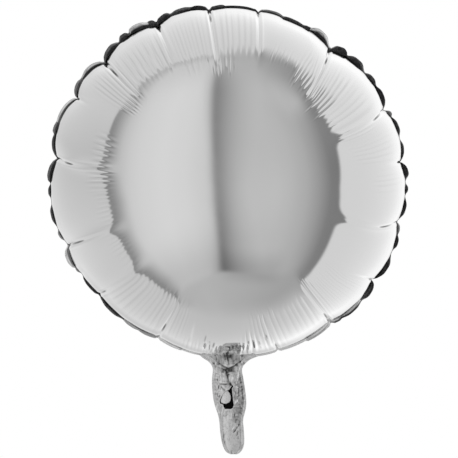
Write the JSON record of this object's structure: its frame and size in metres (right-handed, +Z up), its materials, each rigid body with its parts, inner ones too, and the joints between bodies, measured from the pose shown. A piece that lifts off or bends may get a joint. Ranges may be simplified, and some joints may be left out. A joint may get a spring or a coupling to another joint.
{
  "type": "round foil balloon",
  "caption": "Round silver foil balloon, filled, with a scalloped rim, a pointed pouch and a flat filling neck with a self-sealing valve hole.",
  "frame": {"origin": "centre of the seam, midway between the front and the back panel", "axes": "+Z up towards the top of the rim, away from the neck; the front faces -Y; +X to the right as seen from the front"},
  "size_m": [0.3622, 0.2142, 0.451],
  "materials": {
    "silver_film": "mirror-bright metallised film with a slight satin",
    "rim_film": "welded metallised film crimped in scallops, dark where it turns edge-on, with light facets",
    "neck_film": "crumpled satin metallised film",
    "valve_film": "thin whitish film, satin and crinkled",
    "liner_film": "inner film in the shade of the hole, near black"
  },
  "bodies": {
    "envelope": {"front_panel": "silver_film", "back_panel": "silver_film", "rim_flange": "rim_film", "neck_root": "neck_film"},
    "neck": {"neck_border": "neck_film", "neck_front_film": "neck_film", "neck_back_film": "neck_film", "valve_tongue": "valve_film", "valve_liner": "liner_film"}
  },
  "joints": [
    {"name": "neck_fold", "type": "hinge", "parent": "envelope", "child": "neck", "pos_m": [0, 0, -0.1915], "axis": [1, 0, 0], "range_deg": [-105, 105], "stiffness_Nm_per_rad": 0.0001}
  ]
}
